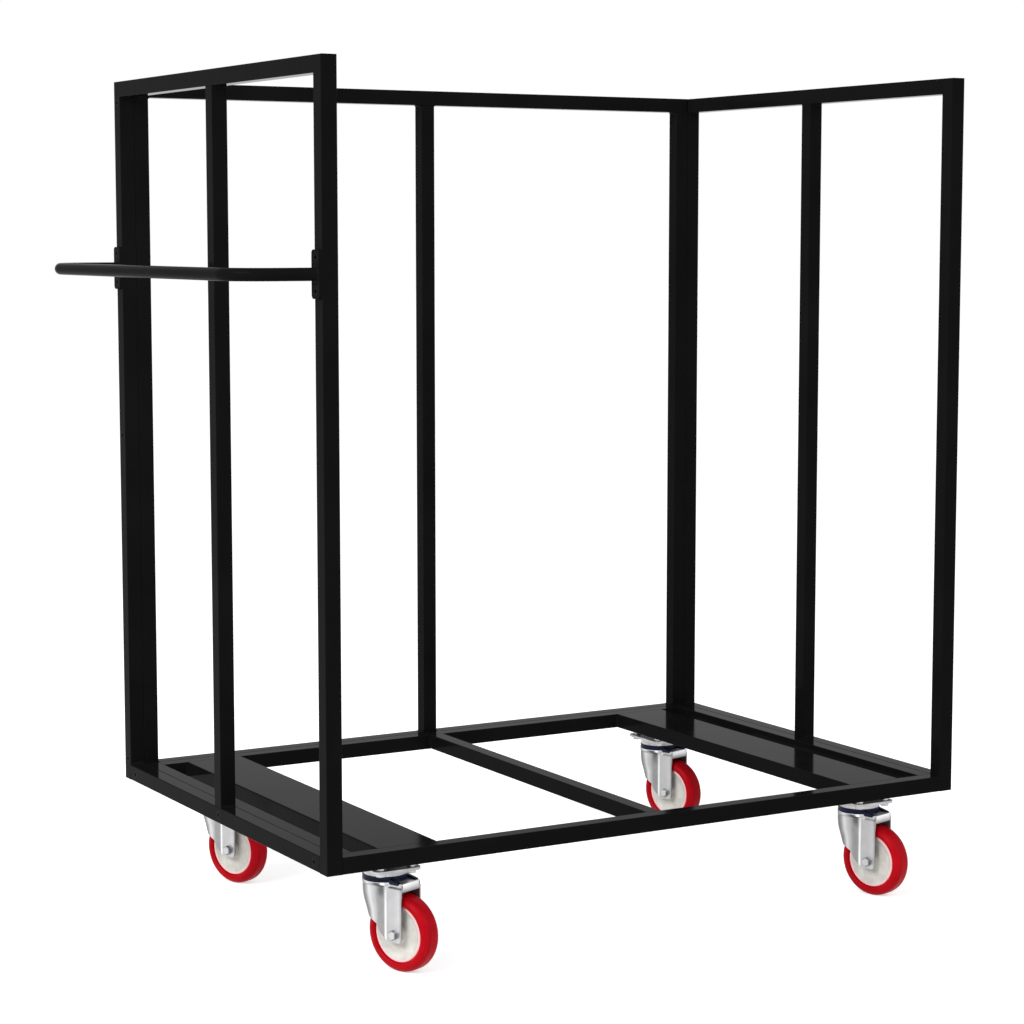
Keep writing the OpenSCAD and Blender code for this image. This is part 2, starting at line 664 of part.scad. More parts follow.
base_front_rail();
base_rear_rail();
base_left_rail();
base_right_rail();
base_centre_rail();
left_castor_carrier();
right_castor_carrier();
left_front_post();
left_middle_post();
left_rear_post();
left_top_rail();
left_bottom_rail();
right_front_post();
right_middle_post();
right_rear_post();
right_top_rail();
right_bottom_rail();
back_left_post();
back_centre_post();
back_right_post();
back_top_rail();
back_bottom_rail();
handle_tube();
handle_front_plate();
handle_rear_plate();
frame_bolts();
frame_nuts();
handle_bolts();
handle_nuts();
castor_sleeves();
castor_plates();
castor_kingpins();
swivel_balls();
castor_bolts();
castor_nuts();
front_left_fork();
front_left_seal();
front_left_axle_bolt();
front_left_axle_nut();
front_left_hub();
front_left_tyre();
front_right_fork();
front_right_seal();
front_right_axle_bolt();
front_right_axle_nut();
front_right_hub();
front_right_tyre();
rear_left_fork();
rear_left_seal();
rear_left_axle_bolt();
rear_left_axle_nut();
rear_left_hub();
rear_left_tyre();
rear_right_fork();
rear_right_seal();
rear_right_axle_bolt();
rear_right_axle_nut();
rear_right_hub();
rear_right_tyre();
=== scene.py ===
# %% [markdown]
# # Banquet table trolley
# This trolley carries folded banquet tables. It is a bolted frame of square steel tube, open at the
# front, on four swivel castors with red tyres, and one bent tube makes the push handle. The CAD model
# already holds every size, so this lesson dresses it: finishes for the tubes, welds, a smooth handle,
# finer castors, light and camera.

# %% Load the frame
import json
import math
import bmesh
import bpy
from mathutils import Matrix, Vector


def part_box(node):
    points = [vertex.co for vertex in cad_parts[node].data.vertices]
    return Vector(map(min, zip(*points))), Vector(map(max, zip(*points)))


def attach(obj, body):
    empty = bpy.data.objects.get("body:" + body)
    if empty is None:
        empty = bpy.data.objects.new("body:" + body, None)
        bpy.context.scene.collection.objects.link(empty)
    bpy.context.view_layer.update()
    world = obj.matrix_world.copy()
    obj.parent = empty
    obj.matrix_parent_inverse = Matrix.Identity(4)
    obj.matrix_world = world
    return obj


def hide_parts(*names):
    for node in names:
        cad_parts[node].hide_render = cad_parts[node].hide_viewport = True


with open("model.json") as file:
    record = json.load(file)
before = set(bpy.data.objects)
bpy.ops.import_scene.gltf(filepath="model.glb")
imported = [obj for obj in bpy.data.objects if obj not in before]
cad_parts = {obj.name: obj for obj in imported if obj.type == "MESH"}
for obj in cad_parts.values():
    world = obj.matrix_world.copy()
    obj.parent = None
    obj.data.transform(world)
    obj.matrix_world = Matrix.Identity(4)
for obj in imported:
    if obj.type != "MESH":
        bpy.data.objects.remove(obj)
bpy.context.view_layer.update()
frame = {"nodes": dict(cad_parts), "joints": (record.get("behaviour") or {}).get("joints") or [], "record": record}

nodes = frame["nodes"]
joints = {j["name"]: j for j in frame["joints"]}
MM = 0.001
print("CAD nodes:", len(nodes), "joints:", len(joints))

# %% [markdown]
# ## Camera
# The photograph was taken from the front left, a little above the middle of the trolley, with a long
# lens. The camera's place is measured from the left front post's lower outer corner, because that corner
# is easy to see. A lens of about 89 mm keeps the uprights nearly parallel, as they are in the
# photograph.

# %% Camera
LENS_MM = 89.45
CAMERA_FROM_CORNER = Vector((-1.5753, -3.2566, 0.9279))
CAMERA_YAW = 0.5246
CAMERA_PITCH = 0.1092
CAMERA_ROLL = -0.0003

camera_data = bpy.data.cameras.new("photo_camera")
camera_data.lens = LENS_MM
camera_data.sensor_width = 36.0
camera = bpy.data.objects.new("photo_camera", camera_data)
bpy.context.scene.collection.objects.link(camera)
camera.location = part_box("left_front_post")[0] + CAMERA_FROM_CORNER
turn = Matrix.Rotation(-CAMERA_YAW, 3, "Z") @ Matrix.Rotation(math.pi / 2 - CAMERA_PITCH, 3, "X")
camera.rotation_euler = (turn @ Matrix.Rotation(CAMERA_ROLL, 3, "Z")).to_euler()
bpy.context.scene.camera = camera
print("camera at", [round(v, 3) for v in camera.location])

# %% [markdown]
# ## Studio
# The trolley stands on a white floor under broad soft lamps. The world lights it evenly, and rays from
# the camera, or from shiny metal, see plain white behind it. The floor is a real white surface, so it
# still takes the soft shadow that tells the eye where the wheels stand.

# %% World
scene = bpy.context.scene
scene.view_settings.view_transform = "Standard"

AMBIENT = 0.62
world = bpy.data.worlds.new("studio")
scene.world = world
world.use_nodes = True
wn, wl = world.node_tree.nodes, world.node_tree.links
wn.clear()
world_out = wn.new("ShaderNodeOutputWorld")
ambient = wn.new("ShaderNodeBackground")
ambient.inputs["Color"].default_value = (1.0, 1.0, 1.0, 1.0)
ambient.inputs["Strength"].default_value = AMBIENT
seen = wn.new("ShaderNodeBackground")
seen.inputs["Color"].default_value = (1.0, 1.0, 1.0, 1.0)
seen.inputs["Strength"].default_value = 1.0
pick_world = wn.new("ShaderNodeMixShader")


def seen_rays(nodes_in, links_in):
    """A value that is 1 for rays that show the background: camera, glossy and transmission rays."""
    path = nodes_in.new("ShaderNodeLightPath")
    first = nodes_in.new("ShaderNodeMath")
    first.operation = "MAXIMUM"
    both = nodes_in.new("ShaderNodeMath")
    both.operation = "MAXIMUM"
    links_in.new(path.outputs["Is Camera Ray"], first.inputs[0])
    links_in.new(path.outputs["Is Glossy Ray"], first.inputs[1])
    links_in.new(first.outputs[0], both.inputs[0])
    links_in.new(path.outputs["Is Transmission Ray"], both.inputs[1])
    return both.outputs[0]


wl.new(seen_rays(wn, wl), pick_world.inputs["Fac"])
wl.new(ambient.outputs[0], pick_world.inputs[1])
wl.new(seen.outputs[0], pick_world.inputs[2])
wl.new(pick_world.outputs[0], world_out.inputs["Surface"])

# %% Floor
FLOOR_SIZE = 80.0
FLOOR_GLOW = 0.52
bpy.ops.object.select_all(action="DESELECT")
bpy.ops.mesh.primitive_plane_add(size=FLOOR_SIZE, location=(0.0, 0.0, 0.0))
floor = bpy.context.object
floor.name = "studio_floor"
floor_paint = bpy.data.materials.new("floor_white")
floor_paint.use_nodes = True
fn, fl = floor_paint.node_tree.nodes, floor_paint.node_tree.links
fn.clear()
floor_out = fn.new("ShaderNodeOutputMaterial")
floor_matt = fn.new("ShaderNodeBsdfDiffuse")
floor_matt.inputs["Color"].default_value = (0.86, 0.86, 0.86, 1.0)
floor_glow = fn.new("ShaderNodeEmission")
floor_glow.inputs["Color"].default_value = (1.0, 1.0, 1.0, 1.0)
floor_sum = fn.new("ShaderNodeAddShader")
glow_level = fn.new("ShaderNodeMath")
glow_level.operation = "MULTIPLY"
glow_level.inputs[1].default_value = FLOOR_GLOW
fl.new(seen_rays(fn, fl), glow_level.inputs[0])
fl.new(glow_level.outputs[0], floor_glow.inputs["Strength"])
fl.new(floor_matt.outputs[0], floor_sum.inputs[0])
fl.new(floor_glow.outputs[0], floor_sum.inputs[1])
fl.new(floor_sum.outputs[0], floor_out.inputs["Surface"])
floor.data.materials.append(floor_paint)

# %% Lamps


def soft_lamp(name, place, target, size, power):
    """A square area lamp at a place, turned towards a target."""
    data = bpy.data.lights.new(name, "AREA")
    data.shape = "SQUARE"
    data.size = size
    data.energy = power
    lamp = bpy.data.objects.new(name, data)
    scene.collection.objects.link(lamp)
    lamp.location = place
    lamp.rotation_euler = (Vector(target) - Vector(place)).to_track_quat("-Z", "Y").to_euler()
    return lamp


soft_lamp("key_lamp", place=(-4.4, -1.4, 3.6), target=(0.0, 0.0, 0.6), size=3.0, power=310.0)
soft_lamp("fill_lamp", place=(2.6, -4.4, 3.2), target=(0.0, 0.0, 0.5), size=3.0, power=80.0)

# %% [markdown]
# ## Finishes that several pieces share
# Powder coat is never quite even: it has a fine orange-peel skin and slow changes of tone. Plated steel
# has faint streaks from the rolling of the sheet. Each effect is a node group, made once and placed in
# every finish that needs it, with its own values.

# %% Node groups


def node_group(name, inputs, outputs):
    """An empty shader node group with named sockets, and its input and output nodes."""
    group = bpy.data.node_groups.new(name, "ShaderNodeTree")
    for label, default in inputs:
        socket = group.interface.new_socket(label, in_out="INPUT", socket_type="NodeSocketFloat")
        socket.default_value = default
    for label in outputs:
        group.interface.new_socket(label, in_out="OUTPUT", socket_type="NodeSocketFloat")
    return group, group.nodes.new("NodeGroupInput"), group.nodes.new("NodeGroupOutput")


def noise_in(group, scale_socket, detail, vector):
    """A noise texture in a group, read on a vector, with its scale from a socket."""
    noise = group.nodes.new("ShaderNodeTexNoise")
    noise.inputs["Detail"].default_value = detail
    group.links.new(vector, noise.inputs["Vector"])
    group.links.new(scale_socket, noise.inputs["Scale"])
    return noise.outputs["Fac"]


peel, peel_in, peel_out = node_group("coat_peel", [("Peel Scale", 700.0), ("Tone Scale", 9.0)],
                                     ["Height", "Tone"])
peel_place = peel.nodes.new("ShaderNodeTexCoord").outputs["Object"]
peel_height = noise_in(peel, peel_in.outputs["Peel Scale"], 2.0, peel_place)
peel_tone = noise_in(peel, peel_in.outputs["Tone Scale"], 4.0, peel_place)
peel.links.new(peel_height, peel_out.inputs["Height"])
peel.links.new(peel_tone, peel_out.inputs["Tone"])

streak_sockets = [("Streak Scale", 140.0), ("Cloud Scale", 35.0)]
streak, streak_in, streak_out = node_group("rolled_streaks", streak_sockets, ["Streak", "Cloud"])
streak_place = streak.nodes.new("ShaderNodeTexCoord").outputs["Object"]
stretch = streak.nodes.new("ShaderNodeMapping")
stretch.inputs["Scale"].default_value = (6.0, 6.0, 0.6)
streak.links.new(streak_place, stretch.inputs["Vector"])
streak_lines = noise_in(streak, streak_in.outputs["Streak Scale"], 3.0, stretch.outputs["Vector"])
streak_cloud = noise_in(streak, streak_in.outputs["Cloud Scale"], 3.0, streak_place)
streak.links.new(streak_lines, streak_out.inputs["Streak"])
streak.links.new(streak_cloud, streak_out.inputs["Cloud"])
print("node groups:", [g.name for g in bpy.data.node_groups])

# %% [markdown]
# ## Helpers for the finishes
# Every finish here is a Principled shader whose colour, roughness and normal come from the groups above.
# These helpers wire the same few steps each time: a colour ramp on a value, a value moved to another
# range, a bump.

# %% Finish helpers


def finish(name, metallic=0.0, specular=0.5):
    """A new material; returns it with its Principled shader, its nodes and its links."""
    material = bpy.data.materials.new(name)
    material.use_nodes = True
    tree = material.node_tree
    shader = tree.nodes["Principled BSDF"]
    shader.inputs["Metallic"].default_value = metallic
    shader.inputs["Specular IOR Level"].default_value = specular
    return material, shader, tree.nodes, tree.links


def place_group(tree_nodes, group, **values):
    """One use of a node group with its own values; spaces in socket names are written as underscores."""
    use = tree_nodes.new("ShaderNodeGroup")
    use.node_tree = group
    for label, value in values.items():
        use.inputs[label.replace("_", " ")].default_value = value
    return use


def tones(tree_nodes, tree_links, source, stops):
    """A colour ramp fed by a value; stops are (position, (r, g, b)) pairs."""
    ramp = tree_nodes.new("ShaderNodeValToRGB")
    elements = ramp.color_ramp.elements
    while len(elements) < len(stops):
        elements.new(0.5)
    for element, (position, colour) in zip(elements, stops):
        element.position = position
        element.color = (*colour, 1.0)
    tree_links.new(source, ramp.inputs["Fac"])
    return ramp.outputs["Color"]


def between(tree_nodes, tree_links, source, low, high, start=0.0, end=1.0):
    """Maps a value from start..end to low..high and stops it there."""
    span = tree_nodes.new("ShaderNodeMapRange")
    span.inputs["From Min"].default_value = start
    span.inputs["From Max"].default_value = end
    span.inputs["To Min"].default_value = low
    span.inputs["To Max"].default_value = high
    tree_links.new(source, span.inputs["Value"])
    return span.outputs["Result"]


def blended(tree_nodes, tree_links, mask, first, second):
    """Mixes two colour outputs by a mask."""
    mix = tree_nodes.new("ShaderNodeMix")
    mix.data_type = "RGBA"
    tree_links.new(mask, mix.inputs["Factor"])
    tree_links.new(first, mix.inputs["A"])
    tree_links.new(second, mix.inputs["B"])
    return mix.outputs["Result"]


def raised(tree_nodes, tree_links, shader, height, distance, strength):
    """A bump from a height value onto a shader's normal."""
    bump = tree_nodes.new("ShaderNodeBump")
    bump.inputs["Distance"].default_value = distance
    bump.inputs["Strength"].default_value = strength
    tree_links.new(height, bump.inputs["Height"])
    tree_links.new(bump.outputs["Normal"], shader.inputs["Normal"])


def own_value(tree_nodes, name):
    """A value that the piece itself carries in each of its points."""
    attribute = tree_nodes.new("ShaderNodeAttribute")
    attribute.attribute_name = name
    return attribute.outputs["Fac"]


# %% [markdown]
# ## Black coat
# The frame wears a satin black powder coat. It is so dark that what shows is mostly the sheen on its
# skin: the flat tops mirror the posts, and faces seen edge-on turn grey. So the colour is nearly black,
# the specular level is very low and the roughness is low too. The handle is a little rougher, and the
# bolts are dull black.

# %% Black finishes


def black_coat(name, shades, rough, specular, peel_scale):
    """A dark coat: two close blacks, uneven roughness and a fine orange-peel skin."""
    material, shader, mn, ml = finish(name, specular=specular)
    skin = place_group(mn, peel, Peel_Scale=peel_scale, Tone_Scale=9.0)
    dark, light = [(v, v, v * 1.08) for v in shades]
    blacks = tones(mn, ml, skin.outputs["Tone"], [(0.3, dark), (0.7, light)])
    ml.new(blacks, shader.inputs["Base Color"])
    ml.new(between(mn, ml, skin.outputs["Tone"], *rough), shader.inputs["Roughness"])
    raised(mn, ml, shader, skin.outputs["Height"], distance=0.00002, strength=0.12)
    return material


coat_frame = black_coat("coat_frame", shades=(0.0042, 0.0056), rough=(0.08, 0.14), specular=0.0065,
                        peel_scale=700.0)
coat_handle = black_coat("coat_handle", shades=(0.0042, 0.0056), rough=(0.18, 0.26), specular=0.005,
                         peel_scale=800.0)
bolt_black = black_coat("bolt_black", shades=(0.0015, 0.0028), rough=(0.35, 0.50), specular=0.020,
                        peel_scale=1500.0)
print("black finishes:", coat_frame.name, coat_handle.name, bolt_black.name)

# %% [markdown]
# ## Zinc
# The castors' steel is plated with bright zinc. The pressed fork gets painted light: the long light and
# dark bands that run down the bowl are painted reflections, the head and the strip's edge get painted
# highlights, and the cheek below the head and the lip get painted shade. Each point of the fork carries
# its own painted light value, and the finish turns it into a grey. Plain plated pieces have cloudy tone
# and streaks only.

# %% Zinc finishes


def zinc(name, dark, light, rough):
    """Bright zinc plate on steel: metal with cloudy tone, faint streaks and an uneven polish."""
    material, shader, mn, ml = finish(name, metallic=0.85)
    roll = place_group(mn, streak, Streak_Scale=140.0, Cloud_Scale=35.0)
    plate = tones(mn, ml, roll.outputs["Cloud"], [(0.3, dark), (0.7, light)])
    ml.new(plate, shader.inputs["Base Color"])
    ml.new(between(mn, ml, roll.outputs["Streak"], *rough), shader.inputs["Roughness"])
    raised(mn, ml, shader, roll.outputs["Streak"], distance=0.00003, strength=0.15)
    return material


zinc_plain = zinc("zinc_plain", dark=(0.28, 0.28, 0.28), light=(0.44, 0.44, 0.445),
                  rough=(0.24, 0.38))
zinc_fastener = zinc("zinc_fastener", dark=(0.34, 0.34, 0.34), light=(0.50, 0.50, 0.50),
                     rough=(0.18, 0.30))

zinc_painted_light, shader, mn, ml = finish("zinc_painted_light", metallic=0.85)
roll = place_group(mn, streak, Streak_Scale=140.0, Cloud_Scale=60.0)
# The painted light value of each fork and bolt point, with a little cloudy tone, picks the grey: painted
# reflection bands, painted highlights and painted shade.
painted_light_tone = mn.new("ShaderNodeMath")
painted_light_tone.operation = "MULTIPLY_ADD"
painted_light_tone.inputs[1].default_value = 0.14
ml.new(roll.outputs["Cloud"], painted_light_tone.inputs[0])
ml.new(own_value(mn, "painted_light"), painted_light_tone.inputs[2])
greys = [(0.0, (0.03, 0.03, 0.032)), (1.0, (0.92, 0.92, 0.93))]
ml.new(tones(mn, ml, painted_light_tone.outputs[0], greys), shader.inputs["Base Color"])
ml.new(between(mn, ml, roll.outputs["Streak"], 0.26, 0.40), shader.inputs["Roughness"])
raised(mn, ml, shader, roll.outputs["Streak"], distance=0.00003, strength=0.12)
print("zinc finishes:", zinc_plain.name, zinc_fastener.name, zinc_painted_light.name)

# %% [markdown]
# ## Seal, hub and tyre
# The swivel seal is dark blue moulded plastic. The hub is off-white nylon, a little mottled, with a pale
# pink ring at its rim. The tyre carries faint rings from its mould. Rings need the distance from the axle,
# so the wheel's points carry that as a value of their own.

# %% Seal, hub and tyre finishes
PINK_FROM, PINK_TO = 0.0398, 0.0412
RING_WAVE = 1800.0

seal_blue, shader, mn, ml = finish("seal_blue", specular=0.12)
skin = place_group(mn, peel, Peel_Scale=1500.0, Tone_Scale=60.0)
navy = tones(mn, ml, skin.outputs["Tone"], [(0.3, (0.003, 0.005, 0.022)), (0.7, (0.005, 0.008, 0.036))])
ml.new(navy, shader.inputs["Base Color"])
ml.new(between(mn, ml, skin.outputs["Tone"], 0.25, 0.4), shader.inputs["Roughness"])
raised(mn, ml, shader, skin.outputs["Height"], distance=0.00003, strength=0.2)

hub_nylon, shader, mn, ml = finish("hub_nylon", specular=0.25)
skin = place_group(mn, peel, Peel_Scale=900.0, Tone_Scale=70.0)
cream = tones(mn, ml, skin.outputs["Tone"], [(0.3, (0.48, 0.468, 0.430)), (0.7, (0.62, 0.612, 0.57))])
pink = tones(mn, ml, skin.outputs["Tone"], [(0.3, (0.86, 0.44, 0.44)), (0.7, (0.92, 0.52, 0.52))])
rim_mask = between(mn, ml, own_value(mn, "wheel_radius"), 0.0, 1.0, PINK_FROM, PINK_TO)
ml.new(blended(mn, ml, rim_mask, cream, pink), shader.inputs["Base Color"])
ml.new(between(mn, ml, skin.outputs["Tone"], 0.38, 0.55), shader.inputs["Roughness"])
raised(mn, ml, shader, skin.outputs["Height"], distance=0.00004, strength=0.2)

tyre_red, shader, mn, ml = finish("tyre_red", specular=0.04)
skin = place_group(mn, peel, Peel_Scale=1100.0, Tone_Scale=40.0)
ring_count = mn.new("ShaderNodeMath")
ring_count.operation = "MULTIPLY"
ring_count.inputs[1].default_value = RING_WAVE
ring_wave = mn.new("ShaderNodeMath")
ring_wave.operation = "SINE"
ml.new(own_value(mn, "wheel_radius"), ring_count.inputs[0])
ml.new(ring_count.outputs[0], ring_wave.inputs[0])
rings = between(mn, ml, ring_wave.outputs[0], 0.0, 1.0, -1.0, 1.0)
dark_reds = [(0.3, (0.30, 0.0012, 0.005)), (0.7, (0.36, 0.0025, 0.008))]
light_reds = [(0.3, (0.36, 0.0015, 0.006)), (0.7, (0.42, 0.003, 0.009))]
ring_dark = tones(mn, ml, skin.outputs["Tone"], dark_reds)
ring_light = tones(mn, ml, skin.outputs["Tone"], light_reds)
ml.new(blended(mn, ml, rings, ring_dark, ring_light), shader.inputs["Base Color"])
ml.new(between(mn, ml, skin.outputs["Tone"], 0.30, 0.44), shader.inputs["Roughness"])
raised(mn, ml, shader, skin.outputs["Height"], distance=0.00004, strength=0.2)

by_slot = {"frame_black": coat_frame, "handle_black": coat_handle, "bolt_black": bolt_black,
           "zinc_steel": zinc_plain, "zinc_fastener": zinc_fastener, "bearing_steel": zinc_fastener,
           "seal_blue": seal_blue, "hub_cream": hub_nylon, "tyre_red": tyre_red}
for entry in frame["record"]["subparts"]:
    mesh = nodes[entry["node"]].data
    mesh.materials.clear()
    mesh.materials.append(by_slot[entry["material_slot"]])

# %% [markdown]
# ## Modelling helpers
# Most new pieces start as a line: one vertex that grows by extruding it from point to point, as when
# drawing along a reference. The line is then filled and drawn out, or spun about an axis. At the end its
# doubles are merged and its normals are made to face outwards.

# %% Modelling helpers


def edit(piece, mode="VERT"):
    """Makes one object active and opens it in edit mode with a select mode."""
    bpy.ops.object.select_all(action="DESELECT")
    piece.select_set(True)
    bpy.context.view_layer.objects.active = piece
    bpy.ops.object.mode_set(mode="EDIT")
    bpy.ops.mesh.select_mode(type=mode)


def close_edit(angle=35.0):
    """Merges doubles, turns normals outwards, leaves edit mode and smooths by angle."""
    bpy.ops.mesh.select_all(action="SELECT")
    bpy.ops.mesh.remove_doubles(threshold=0.00001)
    bpy.ops.mesh.normals_make_consistent(inside=False)
    bpy.ops.object.mode_set(mode="OBJECT")
    bpy.ops.object.shade_smooth_by_angle(angle=math.radians(angle))


def drawn(name, points):
    """Draws a line through points in metres and leaves it all selected in edit mode."""
    bpy.ops.object.select_all(action="DESELECT")
    bpy.ops.mesh.primitive_plane_add(size=0.001, location=points[0])
    piece = bpy.context.object
    piece.name = name
    bpy.ops.object.transform_apply(location=True)
    edit(piece)
    bpy.ops.mesh.select_all(action="SELECT")
    bpy.ops.mesh.merge(type="CENTER")
    for here, there in zip(points, points[1:]):
        step = Vector(there) - Vector(here)
        bpy.ops.mesh.extrude_vertices_move(TRANSFORM_OT_translate={"value": step})
    bpy.ops.mesh.select_all(action="SELECT")
    return piece


def spun(name, profile, axis, steps):
    """Draws a profile of (radius, along) points in millimetres and spins it about an axis."""
    direction = Vector(axis)
    piece = drawn(name, [Vector((r * MM, 0.0, 0.0)) + direction * (a * MM) for r, a in profile])
    bpy.ops.mesh.spin(steps=steps, angle=2 * math.pi, center=(0.0, 0.0, 0.0), axis=axis)
    close_edit()
    return piece


def arc(centre, radius, start, end, count):
    """Points on an arc in a plane, from one angle in degrees to another."""
    spread = [math.radians(start + (end - start) * i / count) for i in range(count + 1)]
    return [(centre[0] + radius * math.cos(a), centre[1] + radius * math.sin(a)) for a in spread]


def apply_modifier(piece, kind, **settings):
    """Adds a modifier, gives it its settings and applies it."""
    bpy.ops.object.select_all(action="DESELECT")
    piece.select_set(True)
    bpy.context.view_layer.objects.active = piece
    modifier = piece.modifiers.new(kind.lower(), kind)
    for key, value in settings.items():
        setattr(modifier, key, value)
    bpy.ops.object.modifier_apply(modifier=modifier.name)


def copied(model, name, matrix):
    """A copy of a piece with its own mesh, moved by a matrix that is then applied."""
    bpy.ops.object.select_all(action="DESELECT")
    model.select_set(True)
    bpy.context.view_layer.objects.active = model
    bpy.ops.object.duplicate(linked=False)
    copy = bpy.context.object
    copy.name = name
    copy.matrix_world = matrix
    bpy.ops.object.transform_apply(location=True, rotation=True, scale=True)
    return copy


def joined(pieces, name):
    """Joins several objects into the first one."""
    bpy.ops.object.select_all(action="DESELECT")
    for piece in pieces:
        piece.select_set(True)
    bpy.context.view_layer.objects.active = pieces[0]
    bpy.ops.object.join()
    pieces[0].name = name
    return pieces[0]


def draw_out(step):
    """Extrudes what is selected by a step."""
    bpy.ops.mesh.extrude_region_move(TRANSFORM_OT_translate={"value": step})


def pick_faces(piece, test):
    """Selects the faces whose middle, in millimetres, and normal pass a test."""
    mesh = bmesh.from_edit_mesh(piece.data)
    for face in mesh.faces:
        face.select = bool(test(face.calc_center_median() / MM, face.normal))
    mesh.select_flush_mode()
    bmesh.update_edit_mesh(piece.data)


def pick_edges(piece, test):
    """Selects the edges that pass a test and no others."""
    bpy.ops.mesh.select_all(action="DESELECT")
    mesh = bmesh.from_edit_mesh(piece.data)
    for line in mesh.edges:
        line.select = bool(test(line))
    bmesh.update_edit_mesh(piece.data)


def dress(piece, body, material):
    """Gives a finished piece its material and the body that it moves with."""
    piece.data.materials.clear()
    piece.data.materials.append(material)
    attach(piece, body)


# %% [markdown]
# ## Push handle
# The handle is one round tube: an arm, a bend, a long bar, a second bend and a second arm, welded to a
# plate at each end. A curve with a round bevel would do, but here the tube is drawn out as a bending
# machine feeds it: a ring is extruded along each straight and spun through each bend. At its feet the
# ring is wider, for the weld.

# %% Push handle
low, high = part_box("handle_tube")
HANDLE_BEND, TUBE_SIDES, BEND_STEPS = 0.064, 40, 20
tube_r = (high.z - low.z) / 2
tube_z = (high.z + low.z) / 2
front_y, rear_y = low.y + tube_r, high.y - tube_r
bend_x = low.x + tube_r + HANDLE_BEND
weld_rings = [(0.0, 0.0027), (0.0008, 0.0016), (0.0020, 0.0006), (0.0036, 0.0)]

bpy.ops.object.select_all(action="DESELECT")
bpy.ops.mesh.primitive_circle_add(vertices=TUBE_SIDES, radius=tube_r + weld_rings[0][1],
                                  fill_type="NOTHING", location=(high.x, front_y, tube_z),
                                  rotation=(0.0, math.pi / 2, 0.0))
handle = bpy.context.object
handle.name = "push_handle"
bpy.ops.object.transform_apply(location=True, rotation=True)
edit(handle, "EDGE")
bpy.ops.mesh.select_all(action="SELECT")


def weld_foot(rings, ring_y, sense):
    """Draws the tube over a weld, from one (distance from the plate, extra radius) pair to the next."""
    for (here, wide), (there, wider) in zip(rings, rings[1:]):
        draw_out((sense * abs(there - here), 0.0, 0.0))
        scale = (tube_r + wider) / (tube_r + wide)
        bpy.ops.transform.resize(value=(1.0, scale, scale), center_override=(high.x, ring_y, tube_z))


def spin_round(centre_y):
    """Spins the selected ring through a quarter bend about an upright axis."""
    bpy.ops.mesh.spin(steps=BEND_STEPS, angle=math.pi / 2, center=(bend_x, centre_y, tube_z),
                      axis=(0.0, 0.0, 1.0))


straight = high.x - weld_rings[-1][0] - bend_x
weld_foot(weld_rings, front_y, -1.0)
draw_out((-straight, 0.0, 0.0))
spin_round(front_y + HANDLE_BEND)
draw_out((0.0, rear_y - front_y - 2 * HANDLE_BEND, 0.0))
spin_round(rear_y - HANDLE_BEND)
draw_out((straight, 0.0, 0.0))
weld_foot(weld_rings[::-1], rear_y, 1.0)
bpy.ops.mesh.select_all(action="SELECT")
bpy.ops.mesh.fill_holes(sides=TUBE_SIDES)
close_edit(50.0)
dress(handle, "frame", coat_handle)
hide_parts("handle_tube")
spread = [handle.matrix_world @ v.co for v in handle.data.vertices]
print("handle x from", round(min(p.x for p in spread), 4), "and CAD from", round(low.x, 4))
print("handle y to", round(max(p.y for p in spread), 4), "and CAD to", round(high.y, 4))

# %% [markdown]
# ## Corner welds
# Where two tubes meet, the frame is welded, and the inner corners are filled with a small hollow bead.
# It is modelled once: a corner with a hollow arc is drawn, filled and drawn out along the joint. Then a
# copy goes into each corner of each opening, turned to lie against both tubes, and all the copies are
# joined.

# %% Corner welds
BEAD_LEG, BEAD_LONG, BEAD_SINK = 4.6, 20.0, 0.3
hollow = arc((BEAD_LEG, BEAD_LEG), BEAD_LEG, 270.0, 180.0, 6)
outline = [(-BEAD_SINK, -BEAD_SINK), (BEAD_LEG, -BEAD_SINK)] + hollow + [(-BEAD_SINK, BEAD_LEG)]
bead = drawn("bead_model", [Vector((a * MM, b * MM, -BEAD_LONG / 2 * MM)) for a, b in outline])
bpy.ops.mesh.edge_face_add()
draw_out((0.0, 0.0, BEAD_LONG * MM))
close_edit(50.0)


def opening(axes, spans, middle):
    """The four corners of an opening: two axes, the limits along each, and the middle of the third."""
    places = []
    third = ({0, 1, 2} - set(axes)).pop()
    for end_a in (0, 1):
        for end_b in (0, 1):
            spot, side_a, side_b = Vector(), Vector(), Vector()
            spot[axes[0]], spot[axes[1]], spot[third] = spans[0][end_a], spans[1][end_b], middle
            side_a[axes[0]] = 1.0 - 2.0 * end_a
            side_b[axes[1]] = 1.0 - 2.0 * end_b
            basis = Matrix((side_a, side_b, side_a.cross(side_b))).transposed().to_4x4()
            places.append(Matrix.Translation(spot) @ basis)
    return places


def span(first, second, axis):
    """From one node's far face to the next node's near face along an axis."""
    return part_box(first)[1][axis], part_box(second)[0][axis]


def mid(node, axis):
    """The middle of a node along an axis."""
    return (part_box(node)[0][axis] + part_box(node)[1][axis]) / 2


corners = []
for end in ("left", "right"):
    height = span(end + "_bottom_rail", end + "_top_rail", 2)
    for near, far in (("_front_post", "_middle_post"), ("_middle_post", "_rear_post")):
        depth = span(end + near, end + far, 1)
        corners += opening((1, 2), (depth, height), mid(end + "_middle_post", 0))
height = span("back_bottom_rail", "back_top_rail", 2)
for near, far in (("back_left_post", "back_centre_post"), ("back_centre_post", "back_right_post")):
    corners += opening((0, 2), (span(near, far, 0), height), mid("back_centre_post", 1))
depth = span("base_front_rail", "base_rear_rail", 1)
across = ["base_left_rail", "left_castor_carrier", "base_centre_rail",
          "right_castor_carrier", "base_right_rail"]
for near, far in zip(across, across[1:]):
    corners += opening((0, 1), (span(near, far, 0), depth), mid("base_centre_rail", 2))
beads = [copied(bead, "bead", place) for place in corners]
bpy.data.objects.remove(bead)
welds = joined(beads, "corner_welds")
dress(welds, "frame", coat_frame)
print("corner beads:", len(corners), "faces:", len(welds.data.polygons))

